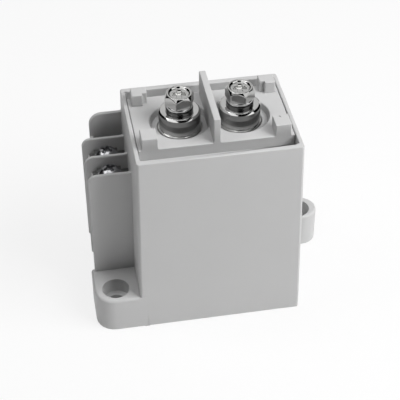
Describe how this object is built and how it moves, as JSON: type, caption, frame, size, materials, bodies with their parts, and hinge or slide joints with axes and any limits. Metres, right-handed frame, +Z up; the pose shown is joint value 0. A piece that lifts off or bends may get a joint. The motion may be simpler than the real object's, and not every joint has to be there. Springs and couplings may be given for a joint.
{
  "type": "high voltage dc contactor",
  "caption": "Boxed dc contactor with a light grey moulded case, screw terminals on top split by a barrier, finned coil terminals at one side and mounting lugs at opposite corners.",
  "frame": {"origin": "middle of the mounting plane, under the middle of the outline from lug to lug", "axes": "+X along the front face away from the coil terminals, +Y from front to rear, +Z up out of the main terminals"},
  "size_m": [0.0724, 0.0368, 0.0689],
  "materials": {
    "case_plastic": "fine moulded matt, light grey",
    "cover_plastic": "fine moulded matt, light grey",
    "terminal_metal": "bright nickel plate on turned copper",
    "bolt_metal": "bright nickel plate on steel",
    "winding_wire": "enamelled copper wire",
    "chamber_ceramic": "unglazed white",
    "magnet_ferrite": "ground ferrite",
    "yoke_steel": "zinc plated soft iron",
    "bobbin_plastic": "black glass filled nylon",
    "damper_rubber": "matt",
    "contact_copper": "bare copper"
  },
  "bodies": {
    "housing": {"case": "case_plastic", "top_cover": "cover_plastic", "left_terminal_post": "terminal_metal", "right_terminal_post": "terminal_metal", "left_terminal_bolt": "bolt_metal", "right_terminal_bolt": "bolt_metal", "left_spring_washer": "bolt_metal", "right_spring_washer": "bolt_metal", "left_flat_washer": "bolt_metal", "right_flat_washer": "bolt_metal", "front_coil_terminal": "bolt_metal", "rear_coil_terminal": "bolt_metal", "front_coil_screw": "bolt_metal", "rear_coil_screw": "bolt_metal", "front_clamp_washer": "bolt_metal", "rear_clamp_washer": "bolt_metal", "front_coil_lead": "winding_wire", "rear_coil_lead": "winding_wire", "arc_chamber": "chamber_ceramic", "chamber_flange": "yoke_steel", "front_magnet": "magnet_ferrite", "rear_magnet": "magnet_ferrite", "magnet_yoke": "yoke_steel", "yoke_frame": "yoke_steel", "yoke_plate": "yoke_steel", "core_tube": "yoke_steel", "fixed_core": "yoke_steel", "core_sleeve": "yoke_steel", "bobbin": "bobbin_plastic", "coil_winding": "winding_wire", "plunger_damper": "damper_rubber", "return_spring": "yoke_steel"},
    "plunger": {"plunger": "yoke_steel", "shaft": "yoke_steel", "bridge_clip": "yoke_steel", "contact_spring": "yoke_steel"},
    "bridge": {"contact_bridge": "contact_copper"}
  },
  "joints": [
    {"name": "plunger_slide", "type": "slide", "parent": "housing", "child": "plunger", "axis": [0, 0, 1], "range_m": [0, 0.0022], "stiffness_N_per_m": 400, "springref_m": -0.004, "deforming": ["return_spring"]},
    {"name": "bridge_slide", "type": "slide", "parent": "plunger", "child": "bridge", "axis": [0, 0, 1], "range_m": [-0.0005, 0], "stiffness_N_per_m": 1000, "springref_m": 0.003, "deforming": ["contact_spring"]}
  ],
  "couplings": [
    {"joint": "bridge_slide", "follows": "plunger_slide", "ratio": -0.227}
  ]
}
